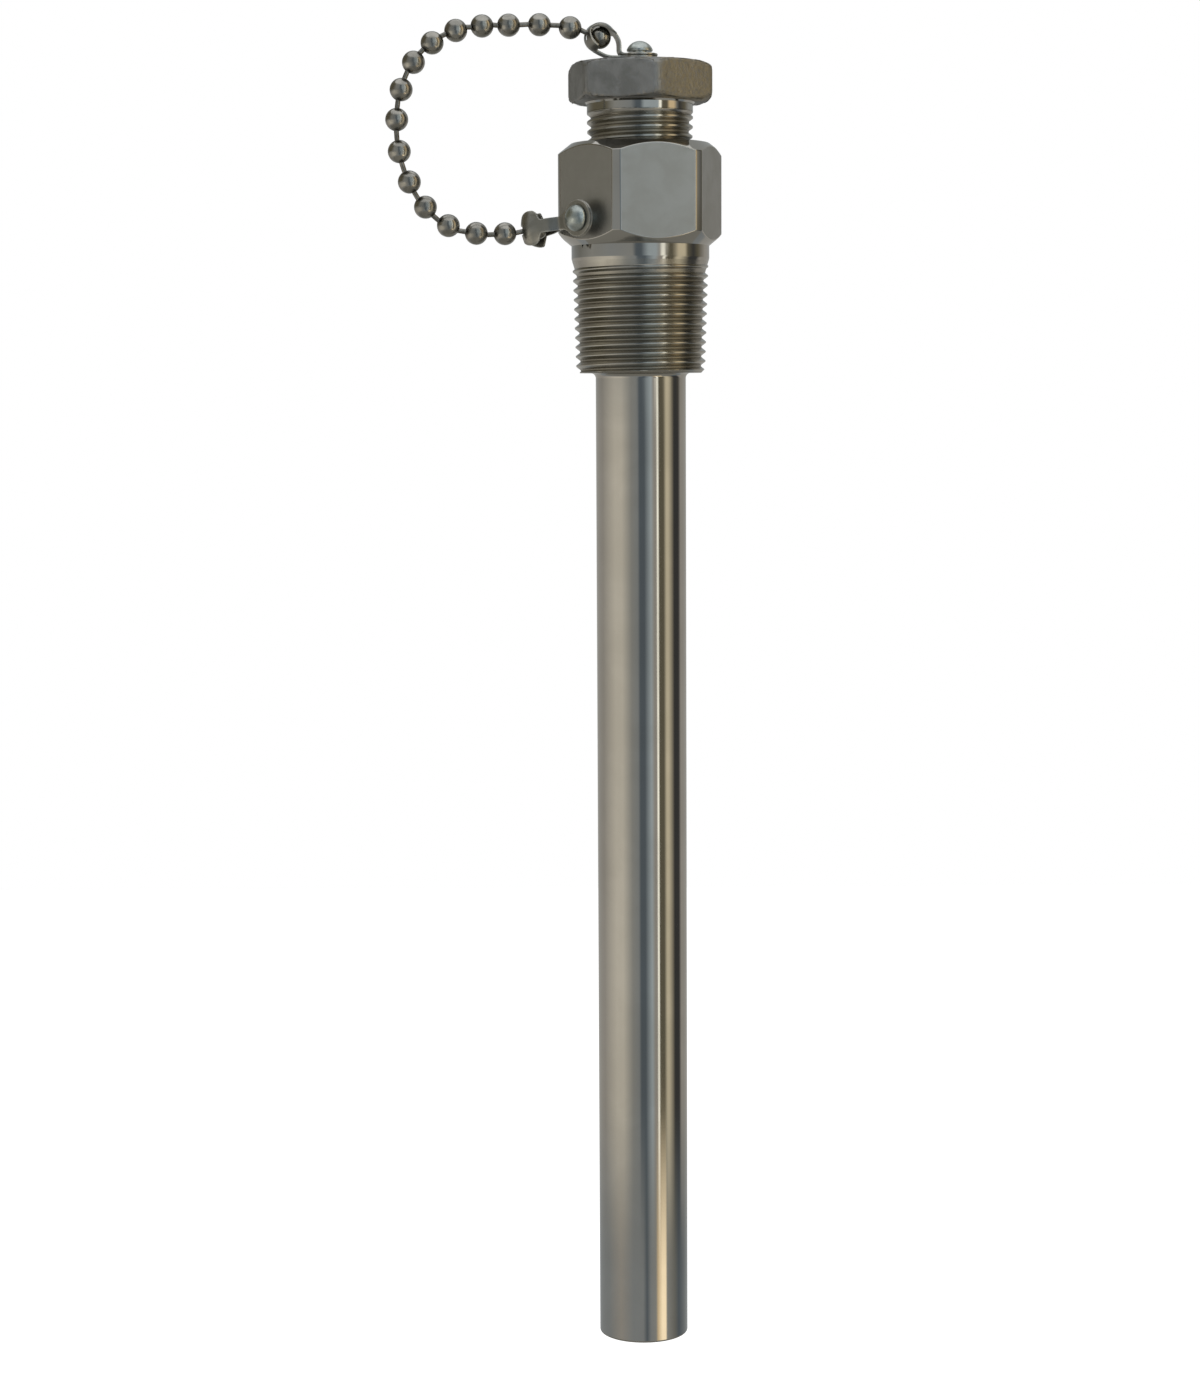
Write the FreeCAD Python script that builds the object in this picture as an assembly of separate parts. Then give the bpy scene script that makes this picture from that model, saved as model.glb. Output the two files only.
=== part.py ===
import FreeCAD, Part
import math
import os

os.makedirs("parts", exist_ok=True)

# A bar-stock thermowell with a hexagon head, closed by a cast pipe plug that is
# kept to it by a ball chain. Millimetres, +Z along the axis towards the plug.
# The origin is on the axis, at the lower end of the process thread.

V = FreeCAD.Vector
ORIGIN = V(0, 0, 0)
X_AXIS = V(1, 0, 0)
Y_AXIS = V(0, 1, 0)
Z_AXIS = V(0, 0, 1)

# Stem, turned from bar
stem_diameter = 17.46
stem_length = 190.5
tip_edge_break = 0.3
stem_fillet = 1.0
tip_wall = 6.35
well_bore = 9.78
drill_point_angle = 118.0

# Process thread, 3/4-14 taper pipe thread, as grooves at its pitch
thread_pitch = 25.4 / 14
process_thread_length = 21.4
process_run_out = 3.2
process_crest_start = 26.03
process_pipe_diameter = 26.67
process_thread_depth = 1.45
least_crest_flat = 0.2
pipe_taper = 1.0 / 16.0

# Collar, at the pipe's own diameter, and hexagon of the body
collar_length = 2.95
body_across_flats = 28.575
body_hexagon_height = 20.1
body_corner_diameter = 32.76
body_top_chamfer_diameter = 26.6
body_top_chamfer_angle = 30.0
body_foot_chamfer_angle = 40.0
body_flat_azimuth = -135.0

# Instrument port for 1/2-14 thread, straight, as its pitch cylinder
port_diameter = 19.85
port_depth = 14.5
port_mouth_chamfer = 0.7

# Plug, 1/2-14 taper pipe thread below a cast hexagon head
thread_clearance = 0.04
plug_engagement = 8.1
plug_exposed_thread = 5.35
plug_end_chamfer = 1.0
plug_neck_diameter = 20.9
plug_neck_length = 1.8
plug_across_flats = 25.4
plug_head_height = 7.45
plug_corner_diameter = 29.0
plug_crown_diameter = 24.4
plug_crown_drop = 2.2
plug_head_foot_chamfer = 0.6
plug_flat_azimuth = -107.4

# Drive rivets, one in the plug's top and one in a flat of the body
rivet_head_diameter = 5.0
rivet_head_height = 2.0
rivet_head_rim = 0.35
rivet_shank_diameter = 2.9
rivet_length = 6.5
rivet_sides = 14
plug_rivet_standoff = 2.25
body_rivet_standoff = 3.0
body_rivet_height = 29.1

# Chain clasps, each one strip of sheet folded round the chain's last bead
sheet = 0.42
strap_width = 2.55
eyelet_diameter = 7.3
eyelet_play = 0.1
eyelet_gap = 0.08
cup_play = 0.08
cup_edge_inset = 0.65
cup_half_width = 3.3
cup_wrap = 200.0
slot_width = 1.7
slot_half_angle = 54.0
plug_eyelet_lift = 0.9
body_eyelet_lift = 2.0
body_clasp_swivel = 9.0

# Where each clasp holds its bead: beyond the eyelets' edge, and up from between them
plug_ball_beyond = 4.29
plug_ball_lift = 3.36
plug_cup_tilt = 38.0
body_ball_beyond = 7.15
body_ball_lift = 0.95
body_cup_tilt = 20.0

# Where each clasp's legs bend: beyond the eyelets' edge, and off the eyelet's own plane
plug_upper_bends = [(0.45, 2.75), (0.45, 0)]
plug_lower_bends = [(3.1, 0)]
body_upper_bends = [(2.85, 1.45), (1.35, 0)]
body_lower_bends = [(4.9, 1.15), (1.5, 0)]
leg_root_angle = 14.0

# Ball chain, hollow beads on loose links
bead_diameter = 4.7
bead_wall = 0.3
bead_hole = 1.4
bead_sides = 10
bead_outer_bands = 5
bead_inner_bands = 2
link_diameter = 0.95
knob_diameter = 1.5
knob_play = 0.02
link_sides = 6

# The chain's loop: points out, as shares of its reach, and up from the bead at either end
loop_reach = 47.4
loop_crown_lift = 2.0
loop_from_plug = [(0.289, 1.7), (0.559, 1.85), (0.764, 0.55), (0.928, -5.3)]
loop_to_body = [(0.945, 8.0), (0.804, 0.75), (0.6245, -1.0)]
# The gaps between beads, from the plug on: how many, and how wide in proportion
loop_gaps = [(3, 1.3), (4, 0.45), (2, 0.95), (2, 1.25), (4, 0.87), (1, 1.4)]
bead_count = 1 + sum(count for count, gap in loop_gaps)

# Sizes that follow
cup_radius = bead_diameter / 2 + cup_play + sheet
cup_edge_radius = cup_radius - cup_edge_inset
eyelet_edge = eyelet_diameter / 2
plug_ball_reach = eyelet_edge + plug_ball_beyond
body_ball_reach = eyelet_edge + body_ball_beyond

# Heights that follow
collar_bottom = process_thread_length
hexagon_bottom = collar_bottom + collar_length
body_top = hexagon_bottom + body_hexagon_height
plug_bottom = body_top - plug_engagement
neck_bottom = body_top + plug_exposed_thread
head_bottom = neck_bottom + plug_neck_length
plug_top = head_bottom + plug_head_height


def save(shape, name):
    shape.exportStep("parts/" + name + ".step")


def tangent(degrees):
    return math.tan(math.radians(degrees))


def rounding(middle, radius, start, end, chords):
    """Points along an arc, as few chords as its size deserves; angles in degrees."""
    points = []
    for k in range(chords + 1):
        turn = math.radians(start + (end - start) * k / chords)
        points.append((middle[0] + radius * math.cos(turn), middle[1] + radius * math.sin(turn)))
    return points


def turned(points):
    """A solid of revolution about Z from (radius, height) points."""
    corners = [V(radius, 0, height) for radius, height in points]
    face = Part.Face(Part.makePolygon(corners + corners[:1]))
    return face.revolve(ORIGIN, Z_AXIS, 360)


def hexagon(across_flats, bottom, height, flat_azimuth):
    """A hexagonal prism with the middle of one flat at the given azimuth."""
    reach = across_flats / 2 / math.cos(math.radians(30))
    corners = []
    for k in range(6):
        turn = math.radians(flat_azimuth + 30 + 60 * k)
        corners.append(V(reach * math.cos(turn), reach * math.sin(turn), bottom))
    return Part.Face(Part.makePolygon(corners + corners[:1])).extrude(V(0, 0, height))


def placement(position, *turns):
    """A placement at a position, after turns given as (axis, degrees), first turn first."""
    result = FreeCAD.Placement()
    for axis, degrees in turns:
        turn = FreeCAD.Placement(ORIGIN, FreeCAD.Rotation(axis, degrees))
        result = turn.multiply(result)
    return FreeCAD.Placement(position, FreeCAD.Rotation()).multiply(result)


def placed(shape, where):
    result = shape.copy()
    result.Placement = where.multiply(result.Placement)
    return result


def faceted(outline, sides):
    """A many-sided turned solid about X from a closed outline of (along, radius) points."""
    faces = []
    for (x0, r0), (x1, r1) in zip(outline, outline[1:] + outline[:1]):
        if r0 == 0 and r1 == 0:
            continue
        for k in range(sides):
            corners = []
            for x, r, step in ((x0, r0, k), (x1, r1, k), (x1, r1, k + 1), (x0, r0, k + 1)):
                turn = 2 * math.pi * (step % sides) / sides
                point = V(x, r * math.cos(turn), r * math.sin(turn))
                if not any(point.isEqual(other, 1e-9) for other in corners):
                    corners.append(point)
            faces.append(Part.Face(Part.makePolygon(corners + corners[:1])))
    solid = Part.makeSolid(Part.makeShell(faces))
    if solid.Volume < 0:
        solid.reverse()
    return solid


# Rivets
def rivet():
    """A domed drive rivet pointing up, with the underside of its head at the origin."""
    head_radius = rivet_head_diameter / 2
    shank_radius = rivet_shank_diameter / 2
    rise = rivet_head_height - rivet_head_rim
    ball = (head_radius**2 + rise**2) / (2 * rise)
    half = math.degrees(math.asin(head_radius / ball))
    dome = rounding((rivet_head_height - ball, 0), ball, 0, half, 3)
    outline = dome + [
        (0, head_radius),
        (0, shank_radius),
        (-rivet_length + shank_radius / 2, shank_radius),
        (-rivet_length, shank_radius / 2),
        (-rivet_length, 0),
    ]
    return placed(faceted(outline, rivet_sides), placement(ORIGIN, (Y_AXIS, -90)))


def rivet_hole():
    """The drilled hole that holds a rivet's shank, from its head's underside on."""
    radius = rivet_shank_diameter / 2
    return Part.makeCylinder(radius, rivet_length, V(0, 0, -rivet_length), Z_AXIS)


plug_rivet_place = placement(V(0, 0, plug_top + plug_rivet_standoff))
body_flat = body_across_flats / 2
body_rivet_turns = [(Y_AXIS, 90), (Z_AXIS, body_flat_azimuth)]
out = placement(ORIGIN, *body_rivet_turns).multVec(Z_AXIS)
body_rivet_seat = out * body_flat + V(0, 0, body_rivet_height)
body_rivet_place = placement(body_rivet_seat + out * body_rivet_standoff, *body_rivet_turns)


# Well body
def process_thread():
    """The thread's outline from its start up: grooves that follow the taper and run out."""
    pipe = process_pipe_diameter / 2
    root = process_crest_start / 2 - process_thread_depth
    points = []
    for k in range(round(process_thread_length / thread_pitch)):
        groove = k * thread_pitch
        crest = groove + thread_pitch / 2
        lift = max(0, groove - (process_thread_length - process_run_out)) / process_run_out
        groove_radius = root + groove * pipe_taper / 2 + lift * process_thread_depth
        crest_radius = root + crest * pipe_taper / 2 + process_thread_depth
        points.append((groove_radius, groove))
        steepness = (crest_radius - groove_radius) / (crest - groove)
        half_flat = (crest_radius - pipe) / steepness
        if half_flat > least_crest_flat:
            points += [(pipe, crest - half_flat), (pipe, crest + half_flat)]
        else:
            points.append((min(crest_radius, pipe, root + crest), crest))
    return points


def well_body():
    stem = stem_diameter / 2
    pipe = process_pipe_diameter / 2
    fillet = rounding((stem + stem_fillet, -stem_fillet), stem_fillet, 180, 90, 2)
    shank = turned([
        (0, -stem_length),
        (stem - tip_edge_break, -stem_length),
        (stem, -stem_length + tip_edge_break),
        *fillet,
        *process_thread(),
        (pipe, hexagon_bottom),
        (0, hexagon_bottom),
    ])

    corner = body_corner_diameter / 2
    crown = body_top_chamfer_diameter / 2
    foot_rise = (corner - pipe) * tangent(body_foot_chamfer_angle)
    top_drop = (corner - crown) * tangent(body_top_chamfer_angle)
    chamfers = turned([
        (0, hexagon_bottom),
        (pipe, hexagon_bottom),
        (corner, hexagon_bottom + foot_rise),
        (corner, body_top - top_drop),
        (crown, body_top),
        (0, body_top),
    ])
    head = hexagon(body_across_flats, hexagon_bottom, body_hexagon_height, body_flat_azimuth)

    port = port_diameter / 2
    bore = well_bore / 2
    point = tangent(90 - drill_point_angle / 2)
    floor = -stem_length + tip_wall
    port_floor = body_top - port_depth
    inside = turned([
        (0, floor),
        (bore, floor + bore * point),
        (bore, port_floor - (port - bore) * point),
        (port, port_floor),
        (port, body_top - port_mouth_chamfer),
        (port + port_mouth_chamfer, body_top),
        (port + port_mouth_chamfer, body_top + 1),
        (0, body_top + 1),
    ])
    body = shank.fuse(head.common(chamfers)).cut(inside)
    return body.cut(placed(rivet_hole(), body_rivet_place)).removeSplitter()


# Plug
def plug():
    thread = port_diameter / 2 - thread_clearance
    neck = plug_neck_diameter / 2
    shank = turned([
        (0, plug_bottom),
        (thread - plug_end_chamfer, plug_bottom),
        (thread, plug_bottom + plug_end_chamfer),
        (thread, neck_bottom),
        (neck, neck_bottom),
        (neck, head_bottom),
        (0, head_bottom),
    ])
    corner = plug_corner_diameter / 2
    crown = plug_crown_diameter / 2
    foot = corner - plug_head_foot_chamfer
    drop = plug_crown_drop
    crown_arc = rounding((0, 0), 1, 0, 90, 2)
    envelope = turned([
        (0, head_bottom),
        (foot, head_bottom),
        (corner, head_bottom + plug_head_foot_chamfer),
        *[(crown + r * (corner - crown), plug_top - drop + z * drop) for r, z in crown_arc],
        (0, plug_top),
    ])
    head = hexagon(plug_across_flats, head_bottom, plug_head_height, plug_flat_azimuth)
    body = shank.fuse(head.common(envelope))
    return body.cut(placed(rivet_hole(), plug_rivet_place)).removeSplitter()


# Clasps
def strip(points):
    """Sheet bent along points in the XZ plane, with mitred folds, as wide as the strap."""
    sides = ([], [])
    for k, (u, v) in enumerate(points):
        before = points[max(k - 1, 0)]
        after = points[min(k + 1, len(points) - 1)]
        normals = []
        for a, b in ((before, (u, v)), ((u, v), after)):
            length = math.hypot(b[0] - a[0], b[1] - a[1])
            if length > 0:
                normals.append(((a[1] - b[1]) / length, (b[0] - a[0]) / length))
        nu = sum(n[0] for n in normals) / len(normals)
        nv = sum(n[1] for n in normals) / len(normals)
        offset = sheet / 2 / (nu * nu + nv * nv)
        sides[0].append(V(u + nu * offset, -strap_width / 2, v + nv * offset))
        sides[1].append(V(u - nu * offset, -strap_width / 2, v - nv * offset))
    corners = sides[0] + sides[1][::-1]
    return Part.Face(Part.makePolygon(corners + corners[:1])).extrude(V(0, strap_width, 0))


def cup(ball_u, ball_v, tilt):
    """The dished part of a clasp, wrapped round its bead and open towards the rivet."""
    outer = [
        (cup_edge_radius, -cup_half_width),
        (cup_radius, -strap_width / 2),
        (cup_radius, strap_width / 2),
        (cup_edge_radius, cup_half_width),
    ]
    inner = [(r - sheet, w) for r, w in outer[::-1]]
    corners = [V(r, w, 0) for r, w in outer + inner]
    section = Part.makePolygon(corners + corners[:1])
    section.rotate(ORIGIN, Y_AXIS, cup_wrap / 2)
    shell = Part.Face(section).revolve(ORIGIN, Y_AXIS, -cup_wrap)
    blank = Part.makeCylinder(cup_half_width, 4 * cup_radius, V(0, 0, -2 * cup_radius), Z_AXIS)
    spread = 2 * cup_radius * tangent(slot_half_angle)
    wedge = [
        V(0, -slot_width / 2, 0),
        V(2 * cup_radius, -slot_width / 2, -spread),
        V(2 * cup_radius, -slot_width / 2, spread),
    ]
    slot = Part.Face(Part.makePolygon(wedge + wedge[:1])).extrude(V(0, slot_width, 0))
    shape = shell.common(blank).cut(slot)
    return placed(shape, placement(V(ball_u, 0, ball_v), (Y_AXIS, -tilt)))


def clasp(ball_u, ball_v, tilt, upper_bends, lower_bends):
    """A whole clasp, with the middle of its two eyelets at the origin and the rivet along Z."""
    leaf = (sheet + eyelet_gap) / 2
    middle_radius = cup_radius - sheet / 2
    shape = cup(ball_u, ball_v, tilt)
    for side, bends in ((1, upper_bends), (-1, lower_bends)):
        points = []
        for inside in (leg_root_angle, 0):
            turn = math.radians(tilt + side * (cup_wrap / 2 - inside))
            points.append((
                ball_u + middle_radius * math.cos(turn),
                ball_v + middle_radius * math.sin(turn),
            ))
        points += [(eyelet_edge + beyond, side * (leaf + away)) for beyond, away in bends]
        points += [(0, side * leaf)]
        eyelet = Part.makeCylinder(
            eyelet_diameter / 2, sheet, V(0, 0, side * leaf - sheet / 2), Z_AXIS
        )
        shape = shape.fuse(strip(points)).fuse(eyelet)
    hole_radius = rivet_shank_diameter / 2 + eyelet_play
    hole = Part.makeCylinder(hole_radius, 2 * eyelet_diameter, V(0, 0, -eyelet_diameter), Z_AXIS)
    return shape.cut(hole).removeSplitter()


eyelet_middle = sheet + eyelet_gap / 2
plug_clasp = clasp(
    plug_ball_reach, plug_ball_lift, plug_cup_tilt, plug_upper_bends, plug_lower_bends
)
body_clasp = clasp(
    body_ball_reach, body_ball_lift, body_cup_tilt, body_upper_bends, body_lower_bends
)
body_clasp_place = placement(
    body_rivet_seat + out * (body_eyelet_lift + eyelet_middle),
    (Z_AXIS, body_clasp_swivel),
    (X_AXIS, -90),
    (Z_AXIS, body_flat_azimuth - 90),
)
last_ball = body_clasp_place.multVec(V(body_ball_reach, 0, body_ball_lift))

# The chain hangs in the upright plane through the axis and the bead in the body's clasp
chain_azimuth = math.degrees(math.atan2(last_ball.y, last_ball.x))
plug_eyelet_height = plug_top + plug_eyelet_lift + eyelet_middle
plug_clasp_place = placement(V(0, 0, plug_eyelet_height), (Z_AXIS, chain_azimuth))


# Chain
def unit(vector):
    return vector * (1 / vector.Length)


def chain_middles():
    """The beads' middles as (out, up), from the plug's clasp to the body's."""
    first = (plug_ball_reach, plug_eyelet_height + plug_ball_lift)
    last = (math.hypot(last_ball.x, last_ball.y), last_ball.z)
    points = [first]
    points += [(share * loop_reach, first[1] + rise) for share, rise in loop_from_plug]
    points += [(loop_reach, (first[1] + last[1]) / 2 + loop_crown_lift)]
    points += [(share * loop_reach, last[1] + rise) for share, rise in loop_to_body]
    points += [last]
    curve = Part.BSplineCurve()
    curve.interpolate([V(reach, 0, height) for reach, height in points])
    fine = curve.discretize(600)
    goal = len(fine) - 1
    run_out = unit(fine[goal] - fine[goal - 1]) * curve.length()
    fine.append(fine[goal] + run_out)
    gaps = [gap for count, gap in loop_gaps for _ in range(count)]

    def walk(looseness):
        """Beads stepped along the loop, and how far along it the last one came."""
        middles = [fine[0]]
        k = 0
        for gap in gaps:
            step = bead_diameter + looseness * gap
            while (fine[k] - middles[-1]).Length < step:
                k += 1
            short = (fine[k - 1] - middles[-1]).Length
            share = (step - short) / ((fine[k] - middles[-1]).Length - short)
            middles.append(fine[k - 1] + (fine[k] - fine[k - 1]) * share)
        return middles, k - 1 + share

    # The chain is as tight or as loose as lets its last bead meet the loop's end
    tight, loose = 0.0, 4.0
    for _ in range(50):
        looseness = (tight + loose) / 2
        if walk(looseness)[1] > goal:
            loose = looseness
        else:
            tight = looseness
    middles = walk(tight)[0]
    middles[-1] = fine[goal]
    return middles


def bead():
    """A hollow bead with a hole at either end, few-sided because there are many of them."""
    outer = bead_diameter / 2
    inner = outer - bead_wall
    hole = bead_hole / 2
    outline = []
    for radius, bands, way in ((outer, bead_outer_bands, 1), (inner, bead_inner_bands, -1)):
        edge = math.asin(hole / radius)
        for k in range(bands + 1):
            turn = edge + (math.pi - 2 * edge) * k / bands
            outline.append((way * radius * math.cos(turn), radius * math.sin(turn)))
    return faceted(outline, bead_sides)


def link(span):
    """A link: a pin with a knob inside the bead at either end."""
    knob = knob_diameter / 2
    pin = link_diameter / 2
    slope = knob * math.cos(math.radians(45))
    neck = math.sqrt(knob**2 - pin**2)
    half = [
        (-span / 2 - knob, 0),
        (-span / 2 - slope, slope),
        (-span / 2, knob),
        (-span / 2 + neck, pin),
    ]
    return faceted(half + [(-x, r) for x, r in half[::-1]], link_sides)


middles = chain_middles()
wall_middle = (bead_diameter - bead_wall) / 2
knob_seat = bead_diameter / 2 - bead_wall - knob_diameter / 2 - knob_play
widest = max((b - a).Length for a, b in zip(middles, middles[1:]))
link_span = widest - 2 * knob_seat

# Each bead points half way between its two links
headings = [unit(b - a) for a, b in zip(middles, middles[1:])]
bead_axes = [headings[0]]
bead_axes += [unit(a + b) for a, b in zip(headings, headings[1:])]
bead_axes += [headings[-1]]


def in_chain(shape, middle, axis):
    """A shape made along X, laid at a middle along an axis of the chain's plane."""
    tilt = math.degrees(math.atan2(axis.z, axis.x))
    return placed(shape, placement(middle, (Y_AXIS, -tilt)))


def swung(shape):
    """From the chain's plane into its place round the object's axis."""
    return placed(shape, placement(ORIGIN, (Z_AXIS, chain_azimuth)))


# Sub-parts
save(well_body(), "well_body")
save(plug(), "plug")
save(placed(rivet(), plug_rivet_place), "plug_rivet")
save(placed(rivet(), body_rivet_place), "body_rivet")
save(placed(plug_clasp, plug_clasp_place), "plug_clasp")
save(placed(body_clasp, body_clasp_place), "body_clasp")

one_bead = bead()
one_link = link(link_span)
for k in range(bead_count):
    save(swung(in_chain(one_bead, middles[k], bead_axes[k])), f"bead_{k + 1:02d}")
for k in range(bead_count - 1):
    near = middles[k] + bead_axes[k] * wall_middle
    far = middles[k + 1] - bead_axes[k + 1] * wall_middle
    laid = in_chain(one_link, (near + far) * 0.5, unit(far - near))
    save(swung(laid), f"link_{k + 1:02d}")
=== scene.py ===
import math

import bmesh
import bpy
from mathutils import Matrix, Vector


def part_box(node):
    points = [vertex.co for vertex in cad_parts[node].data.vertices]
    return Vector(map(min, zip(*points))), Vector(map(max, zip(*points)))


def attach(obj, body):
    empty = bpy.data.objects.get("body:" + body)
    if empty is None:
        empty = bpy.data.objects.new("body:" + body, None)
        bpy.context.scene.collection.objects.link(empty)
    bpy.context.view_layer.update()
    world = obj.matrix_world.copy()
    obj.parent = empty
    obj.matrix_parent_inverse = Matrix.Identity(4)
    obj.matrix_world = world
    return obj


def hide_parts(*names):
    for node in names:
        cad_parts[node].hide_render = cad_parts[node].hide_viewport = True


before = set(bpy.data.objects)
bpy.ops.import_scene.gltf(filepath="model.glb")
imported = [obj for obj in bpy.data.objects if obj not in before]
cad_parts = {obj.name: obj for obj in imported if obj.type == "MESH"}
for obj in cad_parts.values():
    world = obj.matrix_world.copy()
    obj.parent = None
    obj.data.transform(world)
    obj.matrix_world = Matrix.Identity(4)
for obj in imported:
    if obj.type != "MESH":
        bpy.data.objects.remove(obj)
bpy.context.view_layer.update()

MM = 0.001

# The studio. The well hangs upright in front of a long lens, inside a ring of pale and
# dark boards that only the metal sees, over a pale floor that runs out to white.
aim = Vector((-8.2, 0, -63.0)) * MM
aim_distance = 590 * MM
camera_height_angle = math.radians(5.8)
camera_roll = math.radians(-0.27)
camera_lens = 77.8
camera_clip_start = 10 * MM


def added(name, data):
    """A new object in the scene."""
    made = bpy.data.objects.new(name, data)
    bpy.context.scene.collection.objects.link(made)
    return made


camera = added("camera", bpy.data.cameras.new("camera"))
camera.data.lens = camera_lens
camera.data.clip_start = camera_clip_start
away = Vector((0, -math.cos(camera_height_angle), math.sin(camera_height_angle)))
camera.matrix_world = (
    Matrix.Translation(aim + away * aim_distance)
    @ Matrix.Rotation(math.pi / 2 - camera_height_angle, 4, "X")
    @ Matrix.Rotation(camera_roll, 4, "Z")
)
bpy.context.scene.camera = camera
bpy.context.scene.view_settings.view_transform = "Standard"


def put(tree, kind, feeds=(), **settings):
    """A new node with its settings made and its sockets fed, by another socket or a plain value."""
    made = tree.nodes.new(kind)
    for name, value in settings.items():
        setattr(made, name, value)
    for socket, feed in dict(feeds).items():
        if isinstance(feed, bpy.types.NodeSocket):
            tree.links.new(feed, made.inputs[socket])
        else:
            made.inputs[socket].default_value = feed
    return made


def calculator(tree):
    """A function that puts one Math node in the tree and gives its result."""
    def calc(operation, *values):
        return put(tree, "ShaderNodeMath", enumerate(values), operation=operation).outputs[0]
    return calc


def seen_directly(tree):
    """1 where the eye meets a surface straight on, in a mirror or through glass."""
    calc = calculator(tree)
    path = put(tree, "ShaderNodeLightPath").outputs
    direct = calc("MAXIMUM", path["Is Camera Ray"], path["Is Glossy Ray"])
    return calc("MAXIMUM", direct, path["Is Transmission Ray"])


def bare_paint(name):
    """A new material with nothing in its node tree yet, and that tree."""
    made = bpy.data.materials.new(name)
    made.use_nodes = True
    made.node_tree.nodes.clear()
    return made, made.node_tree


def glossy_only(board):
    """Hides a board from all rays but glossy ones."""
    for ray in ("camera", "diffuse", "transmission", "shadow", "volume_scatter"):
        setattr(board, "visible_" + ray, False)


world = bpy.data.worlds.new("studio air")
world.use_nodes = True
world.node_tree.nodes.clear()
air_glow = put(world.node_tree, "ShaderNodeMapRange", {
    "Value": seen_directly(world.node_tree), "To Min": 0.75, "To Max": 1.0,
})
air = put(world.node_tree, "ShaderNodeBackground", {
    "Color": (1, 1, 1, 1), "Strength": air_glow.outputs[0],
})
put(world.node_tree, "ShaderNodeOutputWorld", {"Surface": air.outputs[0]})
bpy.context.scene.world = world

floor_drop = 600 * MM
floor_half = 3000 * MM
floor_glow = 0.45
floor_mesh = bpy.data.meshes.new("floor")
floor_mesh.from_pydata([
    (x * floor_half, y * floor_half, -floor_drop)
    for x, y in ((-1, -1), (1, -1), (1, 1), (-1, 1))
], [], [(0, 1, 2, 3)])
floor_paint, floor_tree = bare_paint("floor paper")
paper = put(floor_tree, "ShaderNodeBsdfDiffuse", {"Color": (0.86, 0.86, 0.86, 1)})
glow = put(floor_tree, "ShaderNodeEmission", {
    "Color": (1, 1, 1, 1),
    "Strength": calculator(floor_tree)("MULTIPLY", seen_directly(floor_tree), floor_glow),
})
lit_paper = put(floor_tree, "ShaderNodeAddShader", {0: paper.outputs[0], 1: glow.outputs[0]})
put(floor_tree, "ShaderNodeOutputMaterial", {"Surface": lit_paper.outputs[0]})
floor_mesh.materials.append(floor_paint)
floor = added("floor", floor_mesh)

# The shades that the boards are painted in, as their light in red, green and blue, and which
# stands where: degrees to the camera's right, at five heights, with a soft change from each
# to the next.
boards_radius = 500 * MM
boards_height = 590 * MM
boards_sides = 128
boards_strength = 4.0
shades = {
    "lamp": (1.9, 1.85, 1.65), "warm lamp": (2.0, 1.65, 1.15), "amber": (1.1, 0.85, 0.52),
    "cream": (0.95, 0.84, 0.62), "pale": (0.90, 0.84, 0.73), "sky": (0.58, 0.66, 0.71),
    "tan": (0.50, 0.47, 0.43), "grey": (0.43, 0.43, 0.41), "shade": (0.36, 0.38, 0.39),
    "dusk": (0.27, 0.27, 0.25), "umber": (0.19, 0.17, 0.12), "slate": (0.15, 0.18, 0.21),
    "dark": (0.07, 0.07, 0.07),
}
stem_boards = [
    (-180, "grey"), (-116, "tan"), (-71, "pale"), (-52, "pale"), (-26, "grey"), (-10, "shade"),
    (-5, "slate"), (7, "slate"), (24, "sky"), (32, "tan"), (38, "tan"), (40, "lamp"),
    (43, "lamp"), (45, "umber"), (58, "umber"), (66, "cream"), (72, "cream"), (91, "dark"),
    (109, "dark"), (119, "tan"), (180, "grey"),
]
boards = [
    (66 * MM, [
        (-180, "shade"), (-120, "umber"), (-80, "umber"), (-56, "grey"), (-20, "shade"),
        (-9, "slate"), (0, "slate"), (9, "sky"), (39, "sky"), (42, "lamp"), (45, "lamp"),
        (48, "umber"), (60, "umber"), (66, "amber"), (77, "amber"), (86, "dusk"),
        (93, "dark"), (112, "umber"), (130, "grey"), (180, "shade"),
    ]),
    (46 * MM, [
        (-180, "shade"), (-120, "dusk"), (-87, "grey"), (-50, "shade"), (-14, "grey"),
        (-8, "slate"), (1, "slate"), (13, "sky"), (25, "sky"), (31, "tan"), (35, "lamp"),
        (39, "lamp"), (42, "umber"), (53, "umber"), (65, "cream"), (78, "cream"),
        (84, "umber"), (98, "dark"), (110, "umber"), (134, "tan"), (180, "shade"),
    ]),
    (-20 * MM, stem_boards),
    (-262 * MM, stem_boards),
    (-318 * MM, [
        (-180, "shade"), (-103, "shade"), (-62, "tan"), (-28, "shade"), (-2, "shade"),
        (8, "slate"), (18, "shade"), (32, "grey"), (37, "amber"), (49, "warm lamp"),
        (59, "warm lamp"), (63, "grey"), (88, "dusk"), (104, "slate"), (150, "shade"),
        (180, "shade"),
    ]),
]
rim_turns = [2 * math.pi * k / boards_sides for k in range(boards_sides)]
rim = [(boards_radius * math.cos(turn), boards_radius * math.sin(turn)) for turn in rim_turns]
boards_mesh = bpy.data.meshes.new("boards")
boards_mesh.from_pydata(
    [(x, y, z) for z in (-boards_height, boards_height) for x, y in rim], [],
    [(k, (k + 1) % boards_sides, (k + 1) % boards_sides + boards_sides, k + boards_sides)
     for k in range(boards_sides)],
)
boards_paint, boards_tree = bare_paint("boards")
calc = calculator(boards_tree)
place = put(boards_tree, "ShaderNodeTexCoord").outputs["Object"]
place = put(boards_tree, "ShaderNodeSeparateXYZ", {0: place}).outputs
azimuth = calc("ARCTAN2", place["X"], calc("MULTIPLY", place["Y"], -1.0))
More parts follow.
